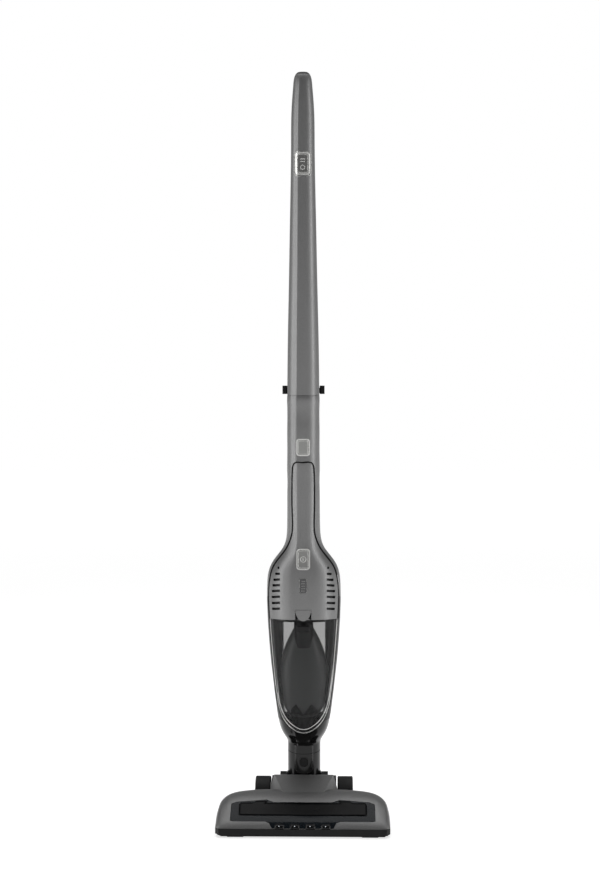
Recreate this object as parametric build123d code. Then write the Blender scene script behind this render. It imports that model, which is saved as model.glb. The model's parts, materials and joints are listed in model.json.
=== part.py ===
from build123d import *
import math
import os

os.makedirs("parts", exist_ok=True)

# ---------------------------------------------------------------- driving dimensions (mm)
LEAN = 5.0                    # forward lean of the stick in its parked position, degrees
PIVOT_Y, PIVOT_Z = 51.0, 45.0  # axis of the tilting neck
SLIDE = 8.0                   # rise of the handheld's way out of the frame, degrees
PIPE_R, PIPE_BORE = 25.6, 22.6
SEAM_Z = 616.8                # fold seam above the pivot
PIN_Y, PIN_R = 17.0, 2.5      # fold hinge pin
WALL = 2.4                    # casing thickness
HEAD_W = 260.0
FRONT_Y = -80.0
COVER_Z = 13.0                # lower edge of the head's cover
BRUSH_Y, BRUSH_Z, BRUSH_R = -40.0, 18.8, 16.8
WHEEL_Y, WHEEL_R, WHEEL_W = 54.0, 28.0, 24.0
WHEEL_X = 52.8
FIT = 0.05                    # radial running clearance
GAP = 0.4                     # clearance between bodies

T = math.tan(math.radians(SLIDE))
STICK = Pos(0, PIVOT_Y, PIVOT_Z) * Rot(LEAN, 0, 0)


def curve(tab):
    """Monotone cubic through a table of (z, value)."""
    tab = sorted(tab)
    z = [p[0] for p in tab]
    v = [p[1] for p in tab]
    h = [z[i + 1] - z[i] for i in range(len(z) - 1)]
    d = [(v[i + 1] - v[i]) / h[i] for i in range(len(h))]
    m = [d[0]]
    for i in range(1, len(d)):
        if d[i - 1] * d[i] <= 0:
            m.append(0.0)
        else:
            w1, w2 = 2 * h[i] + h[i - 1], h[i] + 2 * h[i - 1]
            m.append((w1 + w2) / (w1 / d[i - 1] + w2 / d[i]))
    m.append(d[-1])

    def f(q):
        if q <= z[0]:
            return v[0]
        if q >= z[-1]:
            return v[-1]
        i = max(k for k in range(len(z) - 1) if z[k] <= q)
        t = (q - z[i]) / h[i]
        return ((2 * t**3 - 3 * t**2 + 1) * v[i] + (t**3 - 2 * t**2 + t) * h[i] * m[i]
                + (-2 * t**3 + 3 * t**2) * v[i + 1] + (t**3 - t**2) * h[i] * m[i + 1])
    return f


# half width, front and rear of the stick along its length above the pivot
HALF = curve([(70, 26.0), (74, 26.8), (77, 28.2), (81, 30.6), (85, 33.0), (93, 36.6), (101, 38.9), (109, 40.5), (117, 41.8),
              (133, 43.9), (149, 45.8), (181, 49.5), (213, 52.7), (245, 55.1), (277, 56.8), (293, 57.3), (309, 57.4),
              (325, 57.0), (333, 56.2), (341, 54.8), (349, 52.5), (356, 48.9), (364, 43.3), (372, 36.9), (380, 32.0),
              (388, 28.7), (396, 26.7), (404, 25.9), (419, 25.4), (450, 25.1), (508, 24.9), (590, 24.6), (617, 24.45),
              (636, 24.3), (667, 24.0), (698, 23.5), (728, 22.9), (758, 22.2), (789, 21.5), (819, 20.9), (849, 20.4),
              (879, 19.7), (909, 19.1), (939, 18.4), (969, 18.0), (999, 17.7), (1028, 17.5), (1043, 16.9), (1058, 15.95),
              (1070, 15.0), (1082, 13.9), (1087.6, 13.2), (1090.6, 12.4), (1093.5, 11.2), (1095.5, 9.6), (1097.5, 7.0)])
FRONT = curve([(70, -26.0), (74, -27.5), (78, -30), (85, -34.5), (95, -39.5), (105, -42), (135, -46.5), (165, -49.5), (200, -52.5),
               (235, -54.8), (270, -56), (305, -54.6), (330, -52.8), (344, -51.4), (354, -50.2), (364, -49), (374, -48),
               (386, -46.8), (400, -45.8), (425, -44.6), (470, -43.8), (540, -43.2), (617, -42), (728, -41), (819, -40),
               (909, -38.5), (984, -37.5), (1043, -36.5), (1070, -35), (1087, -32.5), (1094, -29.5), (1097.5, -26)])
REAR = curve([(70, 26), (85, 28.5), (105, 30), (135, 32), (165, 34), (200, 36), (235, 37.4), (270, 38), (330, 37), (354, 35),
              (374, 31), (386, 28.4), (400, 25), (425, 20), (470, 14), (540, 9.5), (617, 8), (640, 6.5), (660, 5), (728, 3),
              (819, 1.5), (909, 0), (984, -1.5), (1043, -3.5), (1070, -6), (1087, -9.5), (1094, -12.5), (1097.5, -16)])
WIDE = curve([(70, 0), (330, 0), (344, -1), (354, -2), (364, -3.5), (374, -5.5), (386, -8), (400, -11), (425, -14), (470, -16),
              (540, -17), (617, -17), (819, -18.5), (984, -19.5), (1070, -20.5), (1097.5, -21)])
HH_REAR = curve([(60, 14), (85, 15), (105, 16.5), (135, 17), (305, 17), (330, 16), (344, 14.5), (354, 12.8), (364, 10.6),
                 (374, 8), (386, 4.5), (400, 1), (425, -2), (470, -4), (520, -5)])
POW = curve([(70, 2.0), (90, 2.15), (120, 2.3), (400, 2.35), (617, 2.45), (984, 2.4), (1097.5, 2.1)])

# outline of the handheld seen along its way out: (height along the way, half width)
OUT = [(509.7, 11.5), (508.6, 13.6), (505.1, 15.6), (499, 16.6), (482.9, 17.2), (435.4, 17.2), (410.7, 16.8), (402, 17.5), (395.2, 19.1),
       (385.2, 22.8), (375, 28.5), (367.2, 34.5), (359.3, 40.6), (353, 45.0), (346.7, 48.2), (334, 51.8), (316.6, 54.1),
       (294.5, 54.3), (267.5, 52.9), (231, 50.3), (207.2, 48.5), (181.4, 46.3), (151.4, 43.2), (134, 40.6), (120.4, 36.6),
       (108.9, 31.0), (99.5, 23.0), (92, 13.0)]
OUT_TOP, OUT_BOTTOM = 509.7, 88.4


def section(z, o=0.0, rear=None):
    n = POW(z)
    a = HALF(z) + o
    w = WIDE(z)
    bf = w - FRONT(z) + o
    r = (rear or REAR)(z)
    br = max(r - w, 4.0) + o
    pts = []
    K = 8
    for i in range(K + 1):
        t = math.pi * i / K
        s, c = max(math.sin(t), 0.0), math.cos(t)
        if i in (0, K):
            s = 0.0
        x = a * s ** (2 / n)
        b = bf if c >= 0 else br
        y = w - math.copysign(b * abs(c) ** (2 / n), c)
        pts.append((x, y, z))
    right = Edge.make_spline([Vector(*p) for p in pts], tangents=[Vector(1, 0, 0), Vector(-1, 0, 0)])
    left = Edge.make_spline([Vector(-p[0], p[1], p[2]) for p in reversed(pts)], tangents=[Vector(-1, 0, 0), Vector(1, 0, 0)])
    return Wire([right, left])


GRID = [70, 80, 92, 106, 122, 140, 165, 192, 220, 248, 271, 291, 310, 328, 345, 361, 376, 391, 407, 424, 444, 468, 494, 520, 547, 572,
        596, 617, 650, 700, 755, 812, 868, 920, 962, 996, 1022, 1045, 1064, 1078, 1087, 1094, 1097.5]


def body(z0, z1, o=0.0, rear=None):
    zs = [z0] + [z for z in GRID if z0 + 3 < z < z1 - 3] + [z1]
    return Solid.make_loft([section(z, o, rear) for z in zs], False)


def patch(z0, z1, o=0.0, rear=None):
    """A short stretch of the body in even steps."""
    n = max(3, round((z1 - z0) / 12))
    return Solid.make_loft([section(z0 + (z1 - z0) * i / n, o, rear) for i in range(n + 1)], False)


def outline_face(o, w0=None, w1=None):
    """The handheld's outline grown by o, as a face in the plane y=0 (x, height)."""
    pts = []
    n = len(OUT)
    full = [(0.0, OUT_TOP)] + [(h, w) for w, h in OUT] + [(0.0, OUT_BOTTOM)]
    for i, (x, w) in enumerate(full):
        p, q = full[max(i - 1, 0)], full[min(i + 1, len(full) - 1)]
        tx, tw = q[0] - p[0], q[1] - p[1]
        L = math.hypot(tx, tw)
        if i == 0:
            nx, nw = 0, 1
        elif i == len(full) - 1:
            nx, nw = 0, -1
        else:
            nx, nw = -tw / L, tx / L
        pts.append((max(x + nx * o, 0), w + nw * o))
    if o < 0:
        def far(p):
            best = 1e9
            for a, b in zip(full, full[1:]):
                vx, vy = b[0] - a[0], b[1] - a[1]
                t = max(0.0, min(1.0, ((p[0] - a[0]) * vx + (p[1] - a[1]) * vy) / (vx * vx + vy * vy)))
                best = min(best, math.hypot(p[0] - a[0] - t * vx, p[1] - a[1] - t * vy))
            return best > abs(o) - 0.12
        pts = [p for i, p in enumerate(pts) if i in (0, len(pts) - 1) or far(p)]
    keep = [pts[0]]
    for p in pts[1:-1]:
        if math.dist(p, keep[-1]) > 1.2 and math.dist(p, pts[-1]) > 1.2 and p[0] > 0.5:
            keep.append(p)
    pts = keep + [pts[-1]]
    ring = [Vector(x, 0, w) for x, w in pts] + [Vector(-x, 0, w) for x, w in reversed(pts[1:-1])]
    return Face(Wire([Edge.make_spline(ring, periodic=True)]))


def along(face, y0, y1):
    """Prism of a face in the plane y=0 along the handheld's way out, from y0 to y1."""
    f = face.moved(Location((0, y0, -y0 * T)))
    return Solid.extrude(f, Vector(0, y1 - y0, -(y1 - y0) * T))


def side_prism(pts, x0=-90, x1=90):
    """Prism along X of a polygon given as (y, z)."""
    e = Wire.make_polygon([Vector(x0, y, z) for y, z in pts], close=True)
    return Solid.extrude(Face(e), Vector(x1 - x0, 0, 0))


def box(x0, x1, y0, y1, z0, z1):
    return Pos((x0 + x1) / 2, (y0 + y1) / 2, (z0 + z1) / 2) * Box(x1 - x0, y1 - y0, z1 - z0)


def rod(p, axis, r, length):
    """Cylinder from p along axis."""
    return Solid.make_cylinder(r, length, Plane(origin=p, z_dir=axis))


def rrect(cx, cz, w, h, r, y0, y1):
    """Rounded rectangle prism along Y."""
    s = Plane(origin=(cx, y0, cz), x_dir=(1, 0, 0), z_dir=(0, 1, 0)) * RectangleRounded(w, h, r)
    return extrude(s, amount=y1 - y0)


def big(shape):
    """Largest solid of a shape, dropping stray slivers."""
    return sorted(shape.solids(), key=lambda s: -s.volume)[0]


nodes = {}


def put(name, shape, stick=True, keep_all=False):
    sol = [s for s in shape.solids() if s.volume > 0.5]
    if not keep_all:
        sol = [max(sol, key=lambda s: s.volume)]
    sol = [STICK * s for s in sol] if stick else sol
    nodes[name] = sol[0] if len(sol) == 1 else Compound(children=sol)


# ================================================================ shared envelopes
outer = body(70, 617)
outer_in = body(70, 617, -WALL)
hh_out = body(70, 517, 0.0, HH_REAR)
hh_in = body(72, 515, -WALL, HH_REAR)
pocket_face = outline_face(0.9)
rear_line = [(-90, 40), (-90, 560)] + [(HH_REAR(z) + 1.0, z) for z in (560, 500, 470, 425, 400, 386, 374, 364, 354, 344, 330, 305, 135, 105, 85, 40)]
pocket = along(pocket_face, 30, -70) & side_prism(rear_line)
split = 269.0 - 4.0 * T       # height of the housing's lower edge along the way out


def below(w, y0=-120.0, y1=60.0):
    """Everything below a plane that runs parallel to the handheld's way out."""
    return side_prism([(y0, 0), (y0, w - y0 * T), (y1, w - y1 * T), (y1, 0)], -100, 100)


# ================================================================ stick frame
frame = outer - pocket
part_y = 3.0
front_zone = side_prism([(-90, 330.6), (-4, 300.6), (-4, 345), (-9, 400), (-12, 460), (-13, 620), (-90, 620)])
bezel = (frame & front_zone) - (outer_in & box(-90, 90, -90, 90, 512.5, 618))
bezel = bezel - rrect(0, 538.4, 20.8, 26.2, 4.2, -60, -30)
put("frame_front", bezel)

rear = frame - side_prism([(-90, 330.3), (-3.7, 300.3), (-3.7, 345), (-8.7, 400), (-11.7, 460), (-12.7, 620), (-90, 620)])
opening = side_prism([(-90, 116), (60, 108), (60, 282), (-90, 290)], -33, 33)
opening = opening.fillet(9.0, [e for e in opening.edges() if abs(e.length - 150.2) < 2 and abs(e.tangent_at(0.5).X) < 0.1]) if False else opening
cavity = outer_in & side_prism([(HH_REAR(z) + 3.6, z) for z in (556, 500, 470, 425, 400, 386, 374, 364, 354, 344, 330, 305, 296)]
                               + [(60, 296), (60, 556)])
rear = rear - opening - cavity - (outer_in & box(-90, 90, -90, 90, 558.5, 596)) - (outer_in & box(-90, 90, -90, 90, 612, 618))
cover_zone = side_prism([(26.0, 292), (26.0, 372), (15.5, 425), (9.2, 470), (5.5, 540), (5.5, 562), (60, 562), (60, 292)])
back_cover = big((outer - outer_in) & cover_zone)
back_zone = side_prism([(25.7, 291.7), (25.7, 372), (15.2, 425), (8.9, 470), (5.2, 540), (5.2, 562.3), (60, 562.3), (60, 291.7)])
rear = rear - (back_zone & (outer - outer_in))
# charging jack seat in the back cover
JACK_Z = 330.0
back_cover = back_cover - rod((0, 20, JACK_Z), (0, 1, 0), 6.0, 30)
put("frame_back_cover", back_cover)
jack_body = rod((0, 24.5, JACK_Z), (0, 1, 0), 5.95, 12.7) - rod((0, 27.0, JACK_Z), (0, 1, 0), 2.8, 20)
put("charging_jack", jack_body)
# air way from the pipe up through the cup
cup_cut = side_prism([(-60, 114), (60, 106), (60, 60), (-60, 60)])
air = rod((0, 0, 60), (0, 0, 1), 15.0, 60)
cup = (rear & cup_cut) - air
rails = rear - side_prism([(-60, 114.4), (60, 106.4), (60, 60), (-60, 60)])
cup = cup - box(-9.2, 9.2, 17.6, 24.4, 60, 130)
put("frame_cup", cup)
# hinge lugs of the fold behind the neck, on the solid rib left under the seam
lugs = []
for sx in (-1, 1):
    lug = rod((sx * 8.0 if sx > 0 else -16.5, PIN_Y, SEAM_Z), (1, 0, 0), 6.4, 8.5)
    lug = lug + (box(8.0, 16.5, 4.0, 22.6, 590, 612) if sx > 0 else box(-16.5, -8.0, 4.0, 22.6, 590, 612))
    web = side_prism([(3.0, 575), (9.0, 575), (23.3, 604), (23.3, SEAM_Z), (10.8, SEAM_Z), (10.8, 611), (3.0, 611)],
                     8.0 if sx > 0 else -16.5, 16.5 if sx > 0 else -8.0)
    lugs.append(rod((8.0 if sx > 0 else -16.5, PIN_Y, SEAM_Z), (1, 0, 0), 6.4, 8.5) + web)
rails = rails + lugs[0] + lugs[1]
rails = rails - rod((-30, PIN_Y, SEAM_Z), (1, 0, 0), PIN_R + 0.02, 60)
put("frame_rear", rails)

# charging contacts in the cup
contacts = [box(sx * 4.5 - 1.6, sx * 4.5 + 1.6, 19.4, 22.6, 84.0, 96.0) for sx in (-1, 1)]
contact_block = box(-9.0, 9.0, 17.8, 24.2, 78.0, 104.0)
for c in contacts:
    contact_block = contact_block - c
put("contact_block", contact_block)
put("charging_contacts", Compound(children=[big(c) for c in contacts]), keep_all=True)

# lower pipe, ring
pipe = rod((0, 0, 21.4), (0, 0, 1), PIPE_R, 48.4) - rod((0, 0, 0), (0, 0, 1), PIPE_BORE, 100)
pipe = pipe - (rod((0, 0, 56.6), (0, 0, 1), PIPE_R + 1, 0.9) - rod((0, 0, 50), (0, 0, 1), PIPE_R - 0.7, 20))
put("lower_pipe", pipe)
pipe_button = (rrect(0, 44.0, 12.6, 14.0, 5.0, -28, -20) & rod((0, 0, 20), (0, 0, 1), PIPE_R + 0.35, 60)) - rod((0, 0, 0), (0, 0, 1), PIPE_BORE + 0.1, 100)
nodes_pipe = big(pipe - rrect(0, 44.0, 13.4, 14.8, 5.3, -40, -15))
put("lower_pipe", nodes_pipe)
put("pipe_button", pipe_button)

# docking release button with its bright ring on the neck
put("release_ring", ((rrect(0, 538.4, 20.6, 26.0, 4.1, -60, -30) - rrect(0, 538.4, 16.6, 22.0, 3.0, -60, -30)) & patch(515, 563, 0.5)) - patch(510, 568, -WALL))
put("release_button", rrect(0, 538.4, 15.9, 21.3, 2.8, -60, -30) & patch(515, 563, 0.15) - patch(510, 568, -4.0))

# fold pin
put("fold_pin", rod((-16.3, PIN_Y, SEAM_Z), (1, 0, 0), PIN_R, 32.6))

# ================================================================ handheld unit
upper = side_prism([(-120, split + 120 * T), (60, split - 60 * T), (60, 560), (-120, 560)], -100, 100)
hh_shell = (hh_out - hh_in) & upper
grey_face = outline_face(-1.5)
rim_face = outline_face(0.6)
rim_in_face = outline_face(-1.5 - 2.0)
grey_front_zone = side_prism([(-90, 40), (-90, 560), (-16, 560), (-15, 470), (-13, 425), (-10, 400), (-7, 386), (-4.5, 374), (-2, 354), (0, 344), (0, 40)])
# painted front: skin plus a short skirt that follows the outline
front = (hh_out & along(grey_face, 30, -100) & grey_front_zone & upper) - (hh_in & along(outline_face(-1.5 - WALL), 40, -100))
vents = []
VENT = [(352.2, 36.6, 39.4), (342.9, 35.8, 43.2), (333.9, 35.6, 46.0), (325.2, 35.6, 47.6), (316.5, 35.6, 48.6), (307.3, 35.6, 48.9),
        (297.9, 35.6, 48.7), (288.9, 35.6, 48.2)]
for z, x0, x1 in VENT:
    for sx in (-1, 1):
        w, h = x1 - x0, 3.7
        f = Plane(origin=(sx * (x0 + x1) / 2, -90, z + 60 * T), x_dir=(1, 0, 0), z_dir=(0, 1, 0)) * (Rot(0, 0, sx * 6.0) * RectangleRounded(w, h, 0.8))
        vents.append(Solid.extrude(f.faces()[0], Vector(0, 88, -88 * T)))
vent_cut = Compound(children=vents)
BTN_Z, GAUGE_Z = 368.2, 328.4
front = front - rrect(0, BTN_Z, 21.2, 32.2, 5.2, -70, -30)
front = front - rrect(0, GAUGE_Z, 12.6, 23.4, 3.6, -70, -30)
catch_cut = side_prism([(-70, 270), (-70, 291.6), (-40, 291.6), (-40, 270)], -12.3, 12.3)
front = front - catch_cut
for v in vents:
    front = front - v
put("motor_housing", front)

# dark rear housing: rim around the painted front, and the back
rearh = body(200, 516, -0.9, HH_REAR) & along(rim_face, 30, -100) & upper
rearh = rearh - (hh_in & along(outline_face(-WALL), 40, -100))
rearh = rearh - (along(outline_face(-1.2), 60, -100) & side_prism([(-90, 40), (-90, 560), (-15.7, 560), (-14.7, 470), (-12.7, 425), (-9.7, 400), (-6.7, 386), (-4.2, 374), (-1.7, 354), (0.3, 344), (0.3, 40)]))
put("rear_housing", rearh)

# floor of the housing: separates it from the dust container
floor_w = split + 1.0
bulk = (hh_in & along(outline_face(-4.4), 40, -100)) & side_prism([(-120, floor_w + 120 * T), (60, floor_w - 60 * T), (60, floor_w + 2.6 - 60 * T), (-120, floor_w + 2.6 + 120 * T)], -100, 100)
FAN_Y = -17.0
bulk = bulk - rod((0, FAN_Y, 240), (0, 0, 1), 12.0, 60)
bulk = bulk - side_prism([(-70, 260), (-70, 300), (-44.6, 300), (-44.6, 260)], -13, 13)
put("motor_bulkhead", bulk)

put("vent_liner", ((body(282, 362, -WALL - 0.3, HH_REAR) - body(282, 362, -WALL - 1.3, HH_REAR)) & along(outline_face(-4.6), 40, -100)
                   & (box(30, 60, -50, -6, 282, 362) + box(-60, -30, -50, -6, 282, 362))), keep_all=True)

motor = rod((0, FAN_Y, 292.5), (0, 0, 1), 23.0, 38.0) + rod((0, FAN_Y, 330.5), (0, 0, 1), 9.0, 5.0)
motor = motor - rod((0, FAN_Y, 290), (0, 0, 1), 3.05, 16)
put("suction_motor", motor)
fan = rod((0, FAN_Y, 282.0), (0, 0, 1), 21.5, 1.6) + rod((0, FAN_Y, 282.0), (0, 0, 1), 5.2, 8.6) + rod((0, FAN_Y, 289.0), (0, 0, 1), 3.0, 12.0)
for k in range(9):
    bl = Pos(0, FAN_Y, 282) * Rot(0, 0, k * 40) * Pos(13, 0, 4.4) * Rot(0, 0, 28) * Box(15.5, 1.1, 6.2)
    fan = fan + bl
fan = fan & rod((0, FAN_Y, 280), (0, 0, 1), 21.5, 40)
put("fan_wheel", fan)
put("motor_seal", (rod((0, FAN_Y, 293.0), (0, 0, 1), 24.5, 5.0) - rod((0, FAN_Y, 290), (0, 0, 1), 23.0, 12)))

cells = []
for sx in (-1, 1):
    cells.append(rod((sx * 36.4, 0.5, 286.0), (0, 0, 1), 9.1, 65) if False else rod((sx * 36.0, -2.0, 284.0), (0, 0, 1), 9.1, 60))
    cells.append(rod((sx * 34.6, -24.5, 283.0), (0, 0, 1), 9.1, 60) if False else rod((sx * 33.6, -22.0, 284.0), (0, 0, 1), 9.1, 56))
cells.append(rod((0, -20, 372.0), (0, 0, 1), 9.1, 62))
cells.append(rod((0, -21, 436.0), (0, 0, 1), 9.1, 62))
put("battery_cells", Compound(children=cells), keep_all=True)
board = box(-11, 11, -42.9, -41.5, 318, 380)
put("control_board", board)

put("power_ring", ((rrect(0, BTN_Z, 21.0, 32.0, 5.1, -70, -30) - rrect(0, BTN_Z, 16.8, 27.8, 3.8, -70, -30)) & patch(300, 400, 0.5, HH_REAR)) - patch(296, 404, -WALL, HH_REAR))
pbtn = rrect(0, BTN_Z, 16.1, 27.1, 3.5, -70, -30) & patch(300, 400, 0.1, HH_REAR) - patch(296, 404, -2.0, HH_REAR)
put("power_button", pbtn)
put("charge_gauge", rrect(0, GAUGE_Z, 12.4, 23.2, 3.5, -70, -30) & patch(300, 400, -0.25, HH_REAR) - patch(296, 404, -1.9, HH_REAR))
catch = (side_prism([(-70, 274.4), (-70, 291.2), (-47.5, 291.2), (-47.5, 280.5), (-50.2, 276.4), (-50.2, 274.4)], -11.9, 11.9) & body(260, 300, 0.05))
tongue = Plane(origin=(0, -70, 291.3), x_dir=(1, 0, 0), z_dir=(0, 1, 0)) * Ellipse(11.9, 16.9)
catch = big(catch & Solid.extrude(tongue.faces()[0], Vector(0, 40, 0)))
put("container_catch", catch)

# ================================================================ dust container
ctop = split - GAP
cfoot_face = outline_face(-1.7)
clear = hh_out & along(cfoot_face, 30, -100) & below(ctop)
clear_in = body(72, 300, -2.0, HH_REAR) & along(outline_face(-3.7), 60, -110)
clear = clear - clear_in
clear = clear - side_prism([(-70, 268), (-70, 300), (-49.0, 300), (-49.0, 268)], -12.6, 12.6)
inlet = rod((0, -2.0, 70), (0, 0, 1), 13.0, 34)
clear = clear - inlet
# the catch's tongue hangs just below the seam, so the container's top is lower along its path
path = side_prism([(-120, ctop - 2.2 + 120 * T), (60, ctop - 2.2 - 60 * T), (60, ctop + 6 - 60 * T), (-120, ctop + 6 + 120 * T)], -12.6, 12.6)
clear = clear - path
put("container_shell", clear)
band = (body(70.5, 300, -1.0, HH_REAR) & along(rim_face, 30, -100) & below(ctop)) - along(outline_face(-1.7), 60, -120)
band = (band & side_prism([(-90, 40), (-90, 300), (2.5, 300), (2.5, 40)])) - rod((0, -2.0, 70), (0, 0, 1), 13.0, 34)
put("container_rim", band)
seal_w = ctop
cap = (body(200, 300, -2.05, HH_REAR) & along(outline_face(-3.8), 60, -110)) & side_prism(
    [(-120, seal_w - 3.2 + 120 * T), (60, seal_w - 3.2 - 60 * T), (60, seal_w - 60 * T), (-120, seal_w + 120 * T)], -100, 100)
cap = cap - rod((0, FAN_Y, 240), (0, 0, 1), 13.0, 60)
cap = cap - side_prism([(-70, 268), (-70, 300), (-45.0, 300), (-45.0, 268)], -13, 13)
cap = cap - path
put("container_seal", cap)


def oval(z, rx, ry, cy):
    return Wire([Edge.make_ellipse(rx, ry, Plane(origin=(0, cy, z), x_dir=(1, 0, 0), z_dir=(0, 0, 1)))])


CONE = [(257, 14.5, 12), (250, 18, 15), (236, 25, 19.5), (222, 30.5, 22.5), (208, 34.2, 24.5), (193, 36, 25.2), (152, 35.4, 24.2), (138, 33, 22), (126, 28, 18),
        (117, 21, 13.5)]
CONE_Y = -15.5
cone = Solid.make_loft([oval(z, a, b, CONE_Y) for z, a, b in reversed(CONE)], False)
cone_in = Solid.make_loft([oval(z + (0 if i else 1), a - 1.6, b - 1.6, CONE_Y) for i, (z, a, b) in enumerate(reversed(CONE))], False)
cone_in = cone_in & box(-60, 60, -60, 40, 119, 300)
neck_tube = rod((0, -23.5, 225), (0, 0, 1), 13.5, 36.6) - rod((0, -23.5, 200), (0, 0, 1), 11.5, 80)
put("filter_cone", (cone - cone_in) + (neck_tube - cone))
put("filter_core", rod((0, CONE_Y, 132), (0, 0, 1), 15.0, 92) - rod((0, CONE_Y, 136), (0, 0, 1), 13.0, 120))
put("inlet_sleeve", (rod((0, -2.0, 92.0), (0, 0, 1), 13.0, 20) - rod((0, -2.0, 60), (0, 0, 1), 11.2, 80)) & body(90, 130, -2.2, HH_REAR)
    & along(outline_face(-3.8), 60, -110))
# ================================================================ handle
h_out = body(SEAM_Z + 0.5, 1097.5)
h_in = body(SEAM_Z + 2.9, 1091, -WALL)
front_cut = side_prism([(-90, 610), (-13, 610), (-14, 728), (-15.5, 909), (-16, 1040), (-17, 1075), (-20, 1092), (-21, 1094.2), (-90, 1094.2)])
rear_cut = side_prism([(60, 610), (-12.7, 610), (-13.7, 728), (-15.2, 909), (-15.7, 1040), (-16.7, 1075), (-19.7, 1092), (-20.7, 1094.2), (60, 1094.2)])
SW_Z = 961.6
ear_slot = box(-40, 40, -6.4, 4.9, 616, 638.5)
handle_front = (h_out & front_cut) - h_in - rrect(0, SW_Z, 22.6, 34.0, 5.2, -60, -28)
put("handle_front", handle_front)
handle_rear = (h_out & rear_cut) - h_in - ear_slot
hlug = rod((-7.6, PIN_Y, SEAM_Z), (1, 0, 0), 6.4, 15.2) + side_prism(
    [(PIN_Y + 6.3, SEAM_Z), (PIN_Y + 6.3, 626), (9, 652), (3.0, 652), (3.0, 622.0), (10.6, SEAM_Z + 1.2), (10.6, SEAM_Z)], -7.6, 7.6)
hlug = hlug - ear_slot
handle_rear = handle_rear + hlug
handle_rear = handle_rear - rod((-30, PIN_Y, SEAM_Z), (1, 0, 0), PIN_R + FIT, 60)
put("handle_rear", handle_rear)
tip = (h_out & side_prism([(-90, 1094.4), (60, 1094.4), (60, 1110), (-90, 1110)]))
put("handle_tip", tip)
lock = box(-32.4, 32.4, -5.6, 3.9, 617.6, 630.2)
lock = lock - box(-26.6, 26.6, -20, 20, 622.8, 640) if False else lock
inner_bar = (lock & body(616.5, 640, -0.0)) & box(-30, 30, -5.6, 1.0, 617.6, 626)
ears = [box(24.9, 32.4, -5.6, 3.9, 617.6, 630.2), box(-32.4, -24.9, -5.6, 3.9, 617.6, 630.2)]
lockbar = box(-25.2, 25.2, -5.2, 1.0, 619.0, 627.0)
ears = [fillet(e.edges().filter_by(Axis.Z), 1.6) for e in ears]
put("fold_lock", ears[0] + ears[1] + lockbar)
put("switch_ring", ((rrect(0, SW_Z, 22.4, 33.8, 5.1, -60, -28) - rrect(0, SW_Z, 17.2, 28.4, 3.6, -60, -28)) & patch(930, 995, 0.5)) - patch(925, 1000, -WALL))
put("power_switch", rrect(0, SW_Z, 16.5, 27.7, 3.4, -60, -28) & patch(930, 995, 0.15) - patch(925, 1000, -3.6))

# ================================================================ tilting neck
yoke = rod((-37.6, 0, 0), (1, 0, 0), 19.8, 75.2) + rod((0, 0, 0), (0, 0, 1), 25.4, 13.4)
yoke = yoke + rod((-45.6, 0, 0), (1, 0, 0), 8.0, 91.2)
yoke = yoke - rod((0, 0, 13.5), (0, 0, 1), 27.5, 30) - rod((0, 0, -4), (0, 0, 1), 16.0, 40)
put("neck_yoke", yoke)
collar = rod((0, 0, 13.6), (0, 0, 1), 26.4, 7.2) - rod((0, 0, 0), (0, 0, 1), 22.6, 40)
put("neck_collar", collar)
spigot = rod((0, 0, 13.6), (0, 0, 1), 20.9, 20.0) - rod((0, 0, 0), (0, 0, 1), 19.0, 60)
spigot = spigot + (rod((0, 0, 13.6), (0, 0, 1), 22.5, 7.2) - rod((0, 0, 0), (0, 0, 1), 20.8, 60))
put("neck_spigot", spigot)

# ================================================================ floor head
def top_profile(x, o=0.0, drop=0.0):
    """Side section of the wings at x as (y, z) points over the top, front foot first."""
    f = curve([(0, -80), (100, -80), (118, -79.4), (125, -78.2), (128.5, -75.5), (130, -72)])(abs(x)) + o
    cy = curve([(0, -17), (60, -17), (100, -21), (118, -26), (125, -32), (128.5, -38), (130, -42)])(abs(x))
    cz = curve([(0, 52.0), (50, 52.0), (80, 51.0), (100, 49.2), (112, 46.5), (120, 42.5), (125, 38), (128, 32), (129.6, 24), (130, 20)])(abs(x)) - o
    r = curve([(0, 27), (60, 27), (100, 22), (118, 12), (125, 4), (128.5, -6), (130, -14)])(abs(x)) - o
    z0 = COVER_Z
    h = cz - z0
    pts = [(f, z0 - drop)]
    pts += [(f + 1.2 + 0.03 * (cy - f), z0 + 0.13 * h), (f + 0.36 * (cy - f), z0 + 0.53 * h), (f + 0.72 * (cy - f), z0 + 0.885 * h),
            (cy, cz), (cy + 0.45 * (r - cy), z0 + 0.93 * h), (cy + 0.82 * (r - cy), z0 + 0.60 * h), (r, z0 - drop)]
    return pts


WX = (0, 22, 44, 62, 77, 90, 100, 108, 114.5, 119.5, 123.5, 126.5, 128.6, 130)


def wing(o=0.0, drop=0.0):
    ws = []
    for x in [-v for v in reversed(WX[1:])] + list(WX):
        xx = x * (130 - o) / 130
        p = top_profile(x, o, drop)
        top = Edge.make_spline([Vector(xx, y, z) for y, z in p])
        bot = Edge.make_line(Vector(xx, *p[-1]), Vector(xx, *p[0]))
        ws.append(Wire([top, bot]))
    return Solid.make_loft(ws, False)


wing_out = wing()
wing_in = wing(2.4, 2.0)


def frustum(low, high):
    """Solid between two four-cornered rings."""
    return Solid.make_loft([Wire.make_polygon([Vector(*p) for p in q], close=True) for q in (low, high)], True)


# raised cowl over the neck
cowl = frustum([(-54, 21, 40), (54, 21, 40), (34, -34, 40), (-34, -34, 40)], [(-46, 21, 67.5), (46, 21, 67.5), (30, -24, 50.4), (-30, -24, 50.4)])
cowl_in = frustum([(-51, 18.6, 37), (51, 18.6, 37), (31.5, -31, 37), (-31.5, -31, 37)], [(-43.5, 18.6, 64.2), (43.5, 18.6, 64.2), (28, -23, 47.9), (-28, -23, 47.9)])
cover = (wing_out + cowl) - wing_in - cowl_in


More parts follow.
